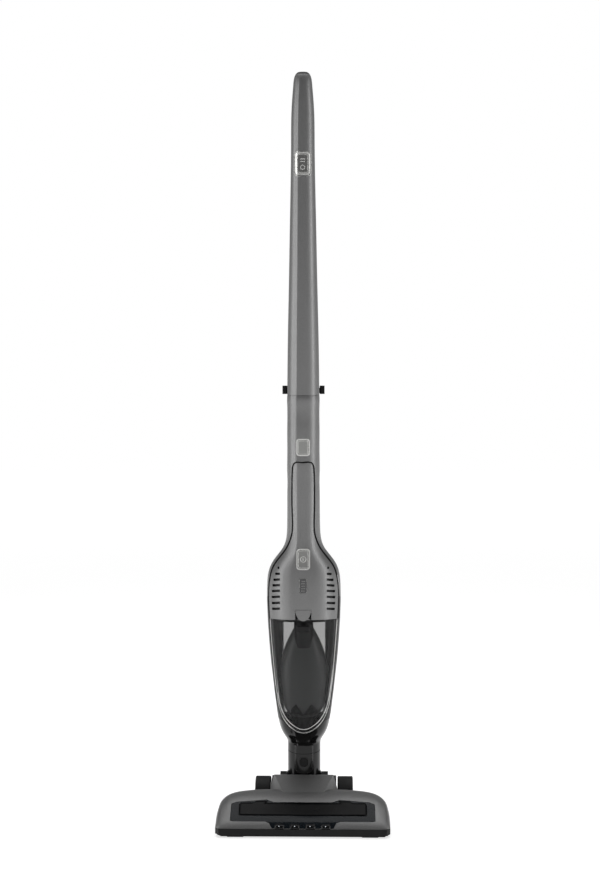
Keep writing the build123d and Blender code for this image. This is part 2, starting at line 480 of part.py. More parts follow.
def seen_face(pts, y=0.0):
    return Face(Wire.make_polygon([Vector(x, y, u) for x, u in pts], close=True))


TV = math.tan(math.radians(16.0))


def seen(pts, r, y0=-100, y1=-10, corner=None):
    """Prism of a window outline along the line of sight that it was laid out on; r rounds its corners."""
    s = make_face(Polyline(*[(x, u) for x, u in pts], close=True))
    f = (Plane.XZ * s).faces()[0]
    f = f.moved(Location((0, y0, -y0 * TV)))
    return Solid.extrude(f, Vector(0, y1 - y0, -(y1 - y0) * TV))


WIN = [(-108.3, 27.5), (-100, 30.6), (-55, 34.0), (-44, 30.2), (44, 30.2), (55, 34.0), (100, 30.6), (108.3, 27.5), (108.3, 2.2), (104, 1.2),
       (56, 1.2), (50, -1.2), (45.5, -9.0), (-45.5, -9.0), (-50, -1.2), (-56, 1.2), (-104, 1.2), (-108.3, 2.2)]
win_cut = seen(WIN, 1.2)
win_in = seen([(x - math.copysign(0.35, x), u - 0.35 if u > 15 else u + 0.35) for x, u in WIN], 1.1)
cover = big(cover - win_cut)
put("head_cover", cover, stick=False)
window = (wing_out - wing(2.0)) & win_in
put("head_window", window, stick=False)

# chassis
plan = [(-122, -77.5), (122, -77.5), (127, -73), (127, -30), (120, 2), (98, 16), (62, 20), (50.6, 24), (50.6, 66), (46, 72), (39.4, 72), (39.4, 22),
        (-39.4, 22), (-39.4, 72), (-46, 72), (-50.6, 66), (-50.6, 24), (-62, 20), (-98, 16), (-120, 2), (-127, -30), (-127, -73)]
plan_s = make_face(Polyline(*plan, close=True))
floor_plate = Pos(0, 0, 2.0) * extrude(plan_s, amount=3.0)
base = floor_plate
mouth = box(-108, 108, -64, -12, -1, 20)
walls = box(-122, 122, -77.5, -74.8, 1.2, 12.6)
walls += box(-110.4, 110.4, -66.4, -64, 2, 26) + box(-110.4, 110.4, -12, -9.6, 2, 40)
walls += box(-110.4, -108, -66.4, -9.6, 2, 36) + box(108, 110.4, -66.4, -9.6, 2, 36)
walls += box(-126.8, -122, -73, -30, 2, 12.6) + box(122, 126.8, -73, -30, 2, 12.6)
for sx in (-1, 1):
    cheek = side_prism([(10, 4), (10, 32), (26, 49), (36, 56.5), (58, 57), (66, 53), (70, 44), (70, 20), (62, 8), (40, 4)],
                       sx * 39.4 if sx > 0 else -50.6, 50.6 if sx > 0 else -39.4)
    walls += cheek
inner_zone = wing_in + cowl_in + box(-60, 60, 19.5, 90, 0, 90) + box(-128, 128, -90, 60, 0, 12.9)
base = base + (walls & inner_zone)
# quarter-round roof of the brush chamber's front and the suction throat to the neck
throat = box(-22, 22, -10.5, 24.5, 8, 40)
throat_in = box(-20, 20, -20, 30, 10, 38)
base = base + (throat & inner_zone) - throat_in - mouth
# bores: trunnions, brush shaft, wheel axles
base = base - rod((-60, PIVOT_Y, PIVOT_Z), (1, 0, 0), 8.05, 120)
base = base - rod((-114, BRUSH_Y, BRUSH_Z), (1, 0, 0), 5.0, 228)
base = base - (rod((-80, WHEEL_Y, WHEEL_R), (1, 0, 0), 4.0, 36) + rod((44, WHEEL_Y, WHEEL_R), (1, 0, 0), 4.0, 36))
base = base - rod((-36, PIVOT_Y, PIVOT_Z), (1, 0, 0), 21.0, 72)
for sx in (-1, 1):
    for (px, py) in ((114, -55), (104, -3)):
        base = base - rod((sx * px, py, -1), (0, 0, 1), 1.6, 16)
base = base - cover
for sx in (-1, 1):
    base = base - box(sx * 100 - 12, sx * 100 + 12, -76.4, -67.4, 0, 2.0)
put("head_base", base, stick=False)

bumper_s = make_face(Polyline((-130, -66), (-130, -74.5), (-124.5, -82), (124.5, -82), (130, -74.5), (130, -66), (127.4, -66), (127.4, -73.4), (122.6, -78.1),
                              (-122.6, -78.1), (-127.4, -73.4), (-127.4, -66), close=True))
bumper = Pos(0, 0, 4.6) * extrude(bumper_s, amount=8.2)
skirt = [(-127.4, -66), (-130, -66), (-129.6, -30), (-122, 4), (-99, 19), (-60, 25), (-60, 22.4), (-98, 16.4), (-120.4, 2.4), (-127.4, -30)]
skl = Pos(0, 0, 4.6) * extrude(make_face(Polyline(*skirt, close=True)), amount=8.2)
put("front_bumper", bumper + skl + mirror(skl, Plane.YZ), stick=False)

glides = [box(sx * 100 - 12, sx * 100 + 12, -76.4, -67.4, 0, 2.0) for sx in (-1, 1)]
put("floor_glides", Compound(children=[big(g) for g in glides]), stick=False, keep_all=True)
put("mouth_strip", (box(-104, 104, -11.6, -9.8, 0.4, 8.0) + box(-104, 104, -11.6, -6.0, 0.6, 2.0)) - base, stick=False)

screws = []
for sx in (-1, 1):
    for (px, py) in ((114, -55), (104, -3)):
        screws.append(rod((sx * px, py, 0.8), (0, 0, 1), 3.0, 1.2) + rod((sx * px, py, 1.9), (0, 0, 1), 1.58, 9.0))
put("chassis_screws", Compound(children=[big(s) for s in screws]), stick=False, keep_all=True)

# brush roll
core = rod((-105.5, BRUSH_Y, BRUSH_Z), (1, 0, 0), 11.0, 211.0) + rod((-117.6, BRUSH_Y, BRUSH_Z), (1, 0, 0), 3.0, 229.0)
core = core + rod((-118.6, BRUSH_Y, BRUSH_Z), (1, 0, 0), 9.0, 6.4)
put("brush_core", core, stick=False)
bearing = (rod((-112.0, BRUSH_Y, BRUSH_Z), (1, 0, 0), 4.98, 4.4) + rod((107.6, BRUSH_Y, BRUSH_Z), (1, 0, 0), 4.98, 4.4)) - rod((-130, BRUSH_Y, BRUSH_Z), (1, 0, 0), 3.0 + FIT, 260)
put("brush_bearings", bearing, stick=False, keep_all=True)
brist = []
for k in range(4):
    for sx in (-1, 1):
        secs = []
        for j in range(9):
            u = j / 8
            ang = math.radians(90 * k + 62 * u)
            xx = sx * (4 + 98 * u) if sx > 0 else -(4 + 98 * u)
            c, s_ = math.cos(ang), math.sin(ang)
            q = []
            for rr, hw in ((10.6, -1.7), (10.6, 1.7), (BRUSH_R, 1.9), (BRUSH_R, -1.9)):
                q.append(Vector(xx, BRUSH_Y + rr * c - hw * s_, BRUSH_Z + rr * s_ + hw * c))
            secs.append(Wire.make_polygon(q, close=True))
        brist.append(Solid.make_loft(secs, False) - rod((-110, BRUSH_Y, BRUSH_Z), (1, 0, 0), 11.0, 220))
put("brush_bristles", Compound(children=[big(b) for b in brist]), stick=False, keep_all=True)

# brush drive
MOT_Y, MOT_Z = -0.3, 22.0
put("brush_motor", (rod((-100.0, MOT_Y, MOT_Z), (1, 0, 0), 9.0, 46) + rod((-103.0, MOT_Y, MOT_Z), (1, 0, 0), 5.0, 4)) - rod((-120, MOT_Y, MOT_Z), (1, 0, 0), 1.6 + FIT, 40), stick=False)
put("motor_pulley", rod((-119.0, MOT_Y, MOT_Z), (1, 0, 0), 3.6, 7.0) + rod((-119.0, MOT_Y, MOT_Z), (1, 0, 0), 1.6, 30.0), stick=False)
dy, dz = MOT_Y - BRUSH_Y, MOT_Z - BRUSH_Z
dist = math.hypot(dy, dz)
ang0 = math.atan2(dz, dy)


def loop(r1, r2, x0, x1):
    a = math.acos((r1 - r2) / dist)
    pts = []
    for i in range(25):
        t = ang0 + a + (2 * math.pi - 2 * a) * i / 24
        pts.append((BRUSH_Y + r1 * math.cos(t), BRUSH_Z + r1 * math.sin(t)))
    for i in range(13):
        t = ang0 - a + 2 * a * i / 12
        pts.append((MOT_Y + r2 * math.cos(t), MOT_Z + r2 * math.sin(t)))
    return side_prism(pts, x0, x1)


put("drive_belt", loop(10.8, 5.4, -117.6, -113.6) - loop(9.35, 3.95, -120, -110), stick=False)

# headlights behind the foot of the window
zl = 19.2
leds = []
for x in (-34.5, -11.5, 11.5, 34.5):
    leds.append(Pos(x, -73.6, zl) * Rot(-52, 0, 0) * Box(12.0, 3.2, 6.0))
led_zone = wing(2.6)
put("headlight_lenses", Compound(children=[big(l & led_zone) for l in leds]), stick=False, keep_all=True)
put("headlight_board", box(-46, 46, -71.2, -69.8, 6, 17), stick=False)

# wheels
for name, sx in (("left", -1), ("right", 1)):
    x0 = WHEEL_X if sx > 0 else -WHEEL_X - WHEEL_W
    tyre = rod((x0, WHEEL_Y, WHEEL_R), (1, 0, 0), WHEEL_R, WHEEL_W)
    tyre = chamfer(tyre.edges().filter_by(GeomType.CIRCLE), 1.2)
    hubr = 23.0
    tyre = tyre - rod((x0 - 1, WHEEL_Y, WHEEL_R), (1, 0, 0), hubr, WHEEL_W + 2)
    hub = rod((x0 + 0.8, WHEEL_Y, WHEEL_R), (1, 0, 0), hubr, WHEEL_W - 1.6) - rod((x0 - 1, WHEEL_Y, WHEEL_R), (1, 0, 0), 3.9 + FIT, WHEEL_W + 2)
    dish_x = x0 + WHEEL_W - 5.0 if sx > 0 else x0 - 1
    hub = hub - (rod((dish_x, WHEEL_Y, WHEEL_R), (1, 0, 0), 19.5, 6) - rod((dish_x, WHEEL_Y, WHEEL_R), (1, 0, 0), 7.0, 6))
    put("wheel_tyre_" + name, tyre, stick=False)
    put("wheel_hub_" + name, hub, stick=False)
axle_l = rod((-76.2, WHEEL_Y, WHEEL_R), (1, 0, 0), 3.9, 31.6)
axle_r = rod((44.6, WHEEL_Y, WHEEL_R), (1, 0, 0), 3.9, 31.6)
put("wheel_axles", Compound(children=[big(axle_l), big(axle_r)]), stick=False, keep_all=True)

for name, shape in nodes.items():
    export_step(shape, f"parts/{name}.step")
print(len(nodes), "nodes")
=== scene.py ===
import bpy, bmesh, math, json
from mathutils import Vector, Matrix, Euler


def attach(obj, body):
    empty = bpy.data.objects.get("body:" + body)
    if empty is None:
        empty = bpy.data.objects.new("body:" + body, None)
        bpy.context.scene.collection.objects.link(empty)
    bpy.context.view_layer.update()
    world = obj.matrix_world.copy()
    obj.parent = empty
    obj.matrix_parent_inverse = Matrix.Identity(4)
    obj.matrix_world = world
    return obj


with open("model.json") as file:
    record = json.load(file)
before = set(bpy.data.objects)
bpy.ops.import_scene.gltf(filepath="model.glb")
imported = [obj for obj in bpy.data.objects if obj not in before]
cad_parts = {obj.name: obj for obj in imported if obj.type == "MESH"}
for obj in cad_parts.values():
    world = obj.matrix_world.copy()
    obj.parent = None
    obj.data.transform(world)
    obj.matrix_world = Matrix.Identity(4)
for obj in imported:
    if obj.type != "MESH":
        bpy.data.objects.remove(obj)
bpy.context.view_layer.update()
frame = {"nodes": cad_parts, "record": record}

nodes = frame["nodes"]
scene = bpy.context.scene

# ------------------------------------------------------------------ stick coordinates (mm in the stick's own frame -> metres)
LEAN = math.radians(5.0)
PIV = Vector((0.0, 0.051, 0.045))
ROT = Matrix.Rotation(LEAN, 3, "X")
TO = Matrix.Translation(PIV) @ ROT.to_4x4()


def st(x, y, z):
    return TO @ Vector((x / 1000, y / 1000, z / 1000))


# ------------------------------------------------------------------ material kit
def new_mat(name):
    m = bpy.data.materials.new(name)
    m.use_nodes = True
    nt = m.node_tree
    b = nt.nodes["Principled BSDF"]
    return m, nt, b


def coords(nt, scale=(1, 1, 1)):
    tc = nt.nodes.new("ShaderNodeTexCoord")
    mp = nt.nodes.new("ShaderNodeMapping")
    mp.inputs["Scale"].default_value = scale
    nt.links.new(tc.outputs["Object"], mp.inputs["Vector"])
    return mp.outputs["Vector"]


def noise(nt, vec, scale, detail=3.0, rough=0.5):
    n = nt.nodes.new("ShaderNodeTexNoise")
    n.inputs["Scale"].default_value = scale
    n.inputs["Detail"].default_value = detail
    n.inputs["Roughness"].default_value = rough
    nt.links.new(vec, n.inputs["Vector"])
    return n.outputs["Fac"]


def ramp(nt, fac, stops):
    r = nt.nodes.new("ShaderNodeValToRGB")
    els = r.color_ramp.elements
    while len(els) < len(stops):
        els.new(0.5)
    for e, (p, c) in zip(els, stops):
        e.position = p
        e.color = (c[0], c[1], c[2], 1) if isinstance(c, (tuple, list)) else (c, c, c, 1)
    nt.links.new(fac, r.inputs["Fac"])
    return r.outputs["Color"]


def bump(nt, b, height, strength=0.1, dist=0.0004, after=None):
    n = nt.nodes.new("ShaderNodeBump")
    n.inputs["Strength"].default_value = strength
    n.inputs["Distance"].default_value = dist
    nt.links.new(height, n.inputs["Height"])
    if after is not None:
        nt.links.new(after, n.inputs["Normal"])
    nt.links.new(n.outputs["Normal"], b.inputs["Normal"])
    return n.outputs["Normal"]


def edge_wear(nt, low, high, width=0.0012):
    """0 on flats and 1 on outer edges, from the surface's pointiness."""
    g = nt.nodes.new("ShaderNodeNewGeometry")
    return ramp(nt, g.outputs["Pointiness"], [(low, 0.0), (high, 1.0)])


def mix_rgb(nt, fac, a, c, mode="MIX"):
    n = nt.nodes.new("ShaderNodeMixRGB")
    n.blend_type = mode
    if isinstance(fac, (int, float)):
        n.inputs[0].default_value = fac
    else:
        nt.links.new(fac, n.inputs[0])
    for i, v in ((1, a), (2, c)):
        if isinstance(v, (tuple, list)):
            n.inputs[i].default_value = (v[0], v[1], v[2], 1)
        else:
            nt.links.new(v, n.inputs[i])
    return n.outputs[0]


def grey_of(v):
    return (v, v, v)


def plastic(name, col, rough, grain=2600, grain_strength=0.12, var=0.12, spec=0.5, coat=0.0, metallic=0.0, mottle=24):
    """Moulded plastic: slight colour drift, fine spark-eroded grain and uneven gloss."""
    m, nt, b = new_mat(name)
    v = coords(nt)
    c0 = tuple(x * (1 - var) for x in col)
    c1 = tuple(min(1, x * (1 + var)) for x in col)
    nt.links.new(ramp(nt, noise(nt, v, mottle, 4), [(0.3, c0), (0.7, c1)]), b.inputs["Base Color"])
    fine = noise(nt, v, grain, 2)
    nt.links.new(ramp(nt, noise(nt, v, 60, 5), [(0.3, rough * 0.86), (0.72, min(1, rough * 1.16))]), b.inputs["Roughness"])
    if grain_strength > 0:
        bump(nt, b, fine, grain_strength * 0.3, 0.0001)
    b.inputs["Specular IOR Level"].default_value = spec
    b.inputs["Metallic"].default_value = metallic
    if coat:
        b.inputs["Coat Weight"].default_value = coat
        b.inputs["Coat Roughness"].default_value = 0.06
    return m


def paint():
    """Metallic satin paint: flakes in the colour and a trace of orange peel."""
    m, nt, b = new_mat("grey_metallic_paint")
    v = coords(nt)
    flake = nt.nodes.new("ShaderNodeTexVoronoi")
    flake.inputs["Scale"].default_value = 2400
    nt.links.new(v, flake.inputs["Vector"])
    fl = ramp(nt, flake.outputs["Color"], [(0.0, 0.185), (0.55, 0.215), (1.0, 0.265)])
    drift = ramp(nt, noise(nt, v, 7, 3), [(0.3, 0.94), (0.7, 1.0)])
    nt.links.new(mix_rgb(nt, 1.0, fl, drift, "MULTIPLY"), b.inputs["Base Color"])
    b.inputs["Metallic"].default_value = 0.7
    nt.links.new(ramp(nt, noise(nt, v, 900, 2), [(0.3, 0.44), (0.7, 0.50)]), b.inputs["Roughness"])
    bump(nt, b, noise(nt, v, 420, 3), 0.05, 0.0002)
    b.inputs["Coat Weight"].default_value = 0.12
    b.inputs["Coat Roughness"].default_value = 0.22
    return m


def metal(name, col, rough, stretch=(1, 1, 1), scale=900, aniso=0.0):
    m, nt, b = new_mat(name)
    v = coords(nt, stretch)
    n = noise(nt, v, scale, 4)
    nt.links.new(ramp(nt, n, [(0.25, tuple(c * 0.86 for c in col)), (0.75, col)]), b.inputs["Base Color"])
    nt.links.new(ramp(nt, n, [(0.25, rough * 0.8), (0.75, rough * 1.25)]), b.inputs["Roughness"])
    b.inputs["Metallic"].default_value = 1.0
    bump(nt, b, n, 0.06, 0.0001)
    return m


def clear(name, col, alpha=0.24, edge=0.8, rough=0.04, spec=1.0):
    """Smoked clear moulding: a tinted skin that closes up and shines towards its edges."""
    m, nt, b = new_mat(name)
    v = coords(nt)
    nt.links.new(ramp(nt, noise(nt, v, 11, 3), [(0.3, tuple(c * 0.85 for c in col)), (0.7, col)]), b.inputs["Base Color"])
    lw = nt.nodes.new("ShaderNodeLayerWeight")
    lw.inputs["Blend"].default_value = 0.25
    nt.links.new(ramp(nt, lw.outputs["Fresnel"], [(0.0, alpha), (0.75, edge)]), b.inputs["Alpha"])
    nt.links.new(ramp(nt, noise(nt, v, 70, 4), [(0.35, rough), (0.75, rough * 1.8)]), b.inputs["Roughness"])
    b.inputs["Specular IOR Level"].default_value = spec
    return m


def board():
    m, nt, b = new_mat("circuit_board")
    v = coords(nt)
    br = nt.nodes.new("ShaderNodeTexBrick")
    br.inputs["Scale"].default_value = 170
    br.inputs["Mortar Size"].default_value = 0.035
    br.inputs["Color1"].default_value = (0.012, 0.09, 0.035, 1)
    br.inputs["Color2"].default_value = (0.016, 0.12, 0.045, 1)
    br.inputs["Mortar"].default_value = (0.35, 0.28, 0.12, 1)
    nt.links.new(v, br.inputs["Vector"])
    nt.links.new(br.outputs["Color"], b.inputs["Base Color"])
    nt.links.new(ramp(nt, noise(nt, v, 300, 2), [(0.3, 0.3), (0.7, 0.45)]), b.inputs["Roughness"])
    return m


def bristle():
    m, nt, b = new_mat("nylon_bristles")
    v = coords(nt, (1, 0.25, 0.25))
    n = noise(nt, v, 2600, 3)
    nt.links.new(ramp(nt, n, [(0.3, (0.02, 0.02, 0.024)), (0.7, (0.11, 0.11, 0.125))]), b.inputs["Base Color"])
    b.inputs["Roughness"].default_value = 0.7
    b.inputs["Sheen Weight"].default_value = 0.3
    bump(nt, b, n, 0.7, 0.0008)
    return m


def felt():
    m, nt, b = new_mat("felt")
    v = coords(nt)
    n = noise(nt, v, 1600, 6, 0.8)
    nt.links.new(ramp(nt, n, [(0.3, 0.03), (0.7, 0.09)]), b.inputs["Base Color"])
    b.inputs["Roughness"].default_value = 0.95
    bump(nt, b, n, 0.8, 0.0006)
    return m


def mesh_metal():
    m, nt, b = new_mat("filter_mesh")
    v = coords(nt)
    w = nt.nodes.new("ShaderNodeTexVoronoi")
    w.inputs["Scale"].default_value = 620
    nt.links.new(v, w.inputs["Vector"])
    d = w.outputs["Distance"]
    nt.links.new(ramp(nt, d, [(0.25, 0.01), (0.42, 0.32)]), b.inputs["Base Color"])
    b.inputs["Metallic"].default_value = 0.9
    nt.links.new(ramp(nt, d, [(0.2, 0.6), (0.5, 0.3)]), b.inputs["Roughness"])
    bump(nt, b, d, 0.6, 0.0004)
    return m


def tyre():
    m = plastic("tyre_rubber", (0.014, 0.014, 0.0145), 0.62, 1800, 0.3, 0.2, 0.3)
    return m


def soft():
    m, nt, b = new_mat("soft_touch_grip")
    v = coords(nt)
    w = nt.nodes.new("ShaderNodeTexVoronoi")
    w.inputs["Scale"].default_value = 520
    nt.links.new(v, w.inputs["Vector"])
    nt.links.new(ramp(nt, noise(nt, v, 18, 4), [(0.3, 0.012), (0.7, 0.02)]), b.inputs["Base Color"])
    nt.links.new(ramp(nt, noise(nt, v, 80, 4), [(0.3, 0.56), (0.7, 0.7)]), b.inputs["Roughness"])
    bump(nt, b, w.outputs["Distance"], 0.22, 0.0003)
    b.inputs["Specular IOR Level"].default_value = 0.35
    return m


def emissive(name, col, strength):
    m, nt, b = new_mat(name)
    v = coords(nt)
    nt.links.new(ramp(nt, noise(nt, v, 500, 2), [(0.3, tuple(c * 0.9 for c in col)), (0.7, col)]), b.inputs["Base Color"])
    b.inputs["Emission Color"].default_value = (*col, 1)
    b.inputs["Emission Strength"].default_value = strength
    b.inputs["Roughness"].default_value = 0.2
    return m


MAT = {
    "grey_paint": paint(),
    "black_plastic": plastic("black_moulded_plastic", (0.005, 0.005, 0.0053), 0.40, 1400, 0.12, 0.12, 0.2),
    "black_gloss": plastic("black_gloss_plastic", (0.004, 0.004, 0.004), 0.12, 900, 0.02, 0.1, 0.32),
    "black_rubber": plastic("black_rubber", (0.006, 0.006, 0.0063), 0.5, 1900, 0.22, 0.15, 0.2),
    "tyre": tyre(),
    "felt": felt(),
    "steel": metal("turned_steel", (0.55, 0.55, 0.56), 0.28, (40, 1, 1), 300),
    "brush_core": plastic("brush_core_plastic", (0.03, 0.03, 0.034), 0.4, 1200, 0.1),
    "bristle": bristle(),
    "motor_metal": metal("motor_can", (0.62, 0.62, 0.63), 0.32, (1, 1, 30), 240),
    "belt": plastic("belt_rubber", (0.012, 0.012, 0.012), 0.6, 2600, 0.3),
    "circuit_board": board(),
    "lamp_lens": clear("lamp_lens", (0.75, 0.78, 0.82), 0.30),
    "contact_metal": metal("gold_plated_contact", (0.85, 0.62, 0.28), 0.22),
    "bright_trim": plastic("bright_trim", (0.66, 0.66, 0.64), 0.28, 900, 0.02, 0.08, 0.7, 0.0, 0.5),
    "satin_trim": None,
    "fan_plastic": plastic("fan_plastic", (0.62, 0.62, 0.6), 0.45),
    "cell_wrap": plastic("cell_wrap", (0.03, 0.16, 0.34), 0.25, 600, 0.04, 0.1, 0.5, 0.2),
    "gauge_lens": plastic("gauge_lens", (0.05, 0.05, 0.052), 0.14, 600, 0.01, 0.1, 0.5, 0.5),
    "smoke_clear": clear("smoked_container", (0.010, 0.0105, 0.0105), 0.24, 0.85, 0.04, 0.45),
    "smoke_window": clear("smoked_window", (0.0075, 0.0105, 0.0135), 0.9, 0.95, 0.1, 0.2),
    # silver for the rim beads, part real chrome lip and part painted highlight
    "rim_silver": metal("satin_silver_rim_and_painted_highlight", (0.55, 0.55, 0.54), 0.26, (1, 1, 1), 700),
    "filter_grey": plastic("filter_grey_plastic", (0.085, 0.088, 0.088), 0.34, 700, 0.0, 0.05, 0.5),
    "filter_mesh": mesh_metal(),
    "soft_grip": soft(),
}
MAT["satin_trim"] = metal("satin_silver_button", (0.36, 0.36, 0.35), 0.34, (1, 1, 1), 800)

slot_of = {s["node"]: s["material_slot"] for s in frame["record"]["subparts"]}
for name, o in nodes.items():
    mat = MAT[slot_of[name]]
    if name.startswith("wheel_tyre"):
        mat = MAT["tyre"]
    if not o.material_slots:
        o.data.materials.append(mat)
    for sl in o.material_slots:
        sl.material = mat


# ------------------------------------------------------------------ mesh helpers
def mesh_obj(name, verts, faces, mat, body, smooth=True):
    me = bpy.data.meshes.new(name)
    me.from_pydata([tuple(v) for v in verts], [], faces)
    me.validate()
    me.update()
    o = bpy.data.objects.new(name, me)
    scene.collection.objects.link(o)
    me.materials.append(mat)
    for p in me.polygons:
        p.use_smooth = smooth
    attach(o, body)
    return o


def ring_wall(name, path, w, h, mat, body, closed=True):
    """A bead that follows a path of (point, normal) with width w and height h (metres)."""
    n = len(path)
    verts, faces = [], []
    prof = [(-0.5, -0.3), (-0.42, 0.62), (-0.2, 0.95), (0.2, 0.95), (0.42, 0.62), (0.5, -0.3)]
    for i, (p, nv) in enumerate(path):
        a = path[(i - 1) % n][0] if closed or i > 0 else p
        b = path[(i + 1) % n][0] if closed or i < n - 1 else p
        t = (b - a).normalized()
        s = t.cross(nv).normalized()
        for u, v in prof:
            verts.append(p + s * (u * w) + nv * (v * h))
    k = len(prof)
    m = n if closed else n - 1
    for i in range(m):
        j = (i + 1) % n
        for q in range(k):
            r = (q + 1) % k
            faces.append((i * k + q, i * k + r, j * k + r, j * k + q))
    if not closed:
        faces.append(tuple(range(k)))
        faces.append(tuple(reversed([(n - 1) * k + q for q in range(k)])))
    return mesh_obj(name, verts, faces, mat, body)


from mathutils.bvhtree import BVHTree
_bvh = {}


def surf(node, x, z, y=-200.0, direction=(0, 1, 0)):
    """Point and normal of a node's front surface at stick coordinates (x, z)."""
    if node not in _bvh:
        me = nodes[node].data
        _bvh[node] = BVHTree.FromPolygons([v.co.copy() for v in me.vertices], [tuple(p.vertices) for p in me.polygons])
    o = st(x, y, z)
    d = (ROT @ Vector(direction)).normalized()
    hit = _bvh[node].ray_cast(o, d)
    if hit[0] is None:
        return None
    n = hit[1]
    if n.dot(d) > 0:
        n = -n
    return hit[0], n


def on_path(node, pts, lift=0.0):
    out = []
    for x, z in pts:
        h = surf(node, x, z)
        if h is None:
            continue
        out.append((h[0] + h[1] * lift, h[1]))
    return out


def circle_pts(cx, cz, r, a0=0, a1=360, n=36):
    return [(cx + r * math.cos(math.radians(a0 + (a1 - a0) * i / n)), cz + r * math.sin(math.radians(a0 + (a1 - a0) * i / n))) for i in range(n + (0 if a1 - a0 == 360 else 1))]


def line_pts(x0, z0, x1, z1, n=8):
    return [(x0 + (x1 - x0) * i / n, z0 + (z1 - z0) * i / n) for i in range(n + 1)]


def rr_pts(cx, cz, w, h, r, n=6):
    pts = []
    for sx, sz, a in ((1, 1, 0), (-1, 1, 90), (-1, -1, 180), (1, -1, 270)):
        for i in range(n + 1):
            t = math.radians(a + 90 * i / n)
            pts.append((cx + sx * (w / 2 - r) + r * math.cos(t), cz + sz * (h / 2 - r) + r * math.sin(t)))
    return pts


def bead(name, node, pts, w, h, mat, body, closed=True, lift=0.0):
    p = on_path(node, pts, lift)
    if len(p) < 3:
        return None
    return ring_wall(name, p, w / 1000, h / 1000, mat, body, closed)


# power button: a generic ring with a short bar
bead("power_button_ring", "power_button", circle_pts(0, 368.2, 4.2), 1.0, 0.35, MAT["bright_trim"], "power_button")
bead("power_button_bar", "power_button", line_pts(0, 366.6, 0, 369.8), 1.1, 0.35, MAT["bright_trim"], "power_button", False)
bead("power_button_edge", "power_button", rr_pts(0, 368.2, 14.6, 25.6, 2.9), 0.7, 0.25, MAT["bright_trim"], "power_button")
# handle switch: two generic bars and a dot
bead("switch_mark_bar_a", "power_switch", line_pts(-3.4, 968.4, 3.4, 968.4), 1.3, 0.35, MAT["bright_trim"], "power_switch", False)
bead("switch_mark_bar_b", "power_switch", line_pts(-3.4, 964.6, 3.4, 964.6), 1.3, 0.35, MAT["bright_trim"], "power_switch", False)
bead("switch_mark_ring", "power_switch", circle_pts(0, 956.2, 3.1), 1.0, 0.35, MAT["bright_trim"], "power_switch")
bead("switch_edge", "power_switch", rr_pts(0, 961.6, 15.0, 26.2, 2.8), 0.7, 0.25, MAT["bright_trim"], "power_switch")
bead("release_edge", "release_button", rr_pts(0, 538.4, 14.2, 19.6, 2.4), 0.7, 0.25, MAT["bright_trim"], "release_button")
# charge gauge bars under the lens
gauge_mat = plastic("gauge_bars", (0.16, 0.16, 0.158), 0.3, 900, 0.02)
for i in range(5):
    bead(f"gauge_bar_{i}", "charge_gauge", line_pts(-2.9, 320.6 + i * 3.6, 2.9, 320.6 + i * 3.6, 6), 1.7, 0.12, gauge_mat, "handheld", False)
bead("gauge_frame", "charge_gauge", rr_pts(0, 328.4, 11.4, 22.2, 3.0), 0.6, 0.2, MAT["satin_trim"], "handheld")

# headlights: a bright emitter in each lens
lamp_mat = emissive("headlight_emitter", (0.9, 0.95, 1.0), 0.22)


def dome(name, c, n, r, h, mat, body, seg=20, rings=5):
    n = n.normalized()
    a = n.orthogonal().normalized()
    b = n.cross(a)
    verts, faces = [], []
    for i in range(rings):
        t = i / rings * math.pi / 2
        for k in range(seg):
            u = 2 * math.pi * k / seg
            verts.append(c + (a * math.cos(u) + b * math.sin(u)) * (r * math.cos(t)) + n * (h * math.sin(t)))
    verts.append(c + n * h)
    base = len(verts)
    verts.append(c - n * (h * 0.3))
    for i in range(rings - 1):
        for k in range(seg):
            q = (k + 1) % seg
            faces.append((i * seg + k, i * seg + q, (i + 1) * seg + q, (i + 1) * seg + k))
    for k in range(seg):
        q = (k + 1) % seg
        faces.append(((rings - 1) * seg + k, (rings - 1) * seg + q, base - 1))
        faces.append((q, k, base))
    return mesh_obj(name, verts, faces, mat, body)


def world_surf(node, o, d):
    surf(node, 0, 0)
    hit = _bvh[node].ray_cast(Vector(o), Vector(d).normalized())
    return (hit[0], hit[1] if hit[1].dot(Vector(d)) < 0 else -hit[1]) if hit[0] is not None else None


# ------------------------------------------------------------------ pieces that follow the container's outline
TS = math.tan(math.radians(8.0))
OUTLINE = [(316.6, 54.1), (294.5, 54.3), (267.5, 52.9), (231.0, 50.3), (207.2, 48.5), (181.4, 46.3), (151.4, 43.2), (134.0, 40.6),
           (120.4, 36.6), (108.9, 31.0), (99.5, 23.0), (92.0, 13.0), (89.2, 6.0), (88.4, 0.0)]


def bvh(node):
    if node not in _bvh:
        me = nodes[node].data
        _bvh[node] = BVHTree.FromPolygons([v_.co.copy() for v_ in me.vertices], [tuple(p.vertices) for p in me.polygons])
    return _bvh[node]


def first_hit(names, o, d):
    best = None
    for n_ in names:
        h = bvh(n_).ray_cast(o, d)
        if h[0] is not None and (best is None or h[3] < best[2]):
            best = (h[0], h[1] if h[1].dot(d) < 0 else -h[1], h[3])
    return best[:2] if best else None


def smooth_line(pts, n=6):
    out = []
    for i in range(len(pts) - 1):
        p0, p1, p2, p3 = pts[max(i - 1, 0)], pts[i], pts[i + 1], pts[min(i + 2, len(pts) - 1)]
        for k in range(n):
            t = k / n
            out.append(tuple(0.5 * (2 * b_ + (c_ - a_) * t + (2 * a_ - 5 * b_ + 4 * c_ - d_) * t * t + (3 * b_ - a_ - 3 * c_ + d_) * t ** 3)
                             for a_, b_, c_, d_ in zip(p0, p1, p2, p3)))
    out.append(pts[-1])
    return out


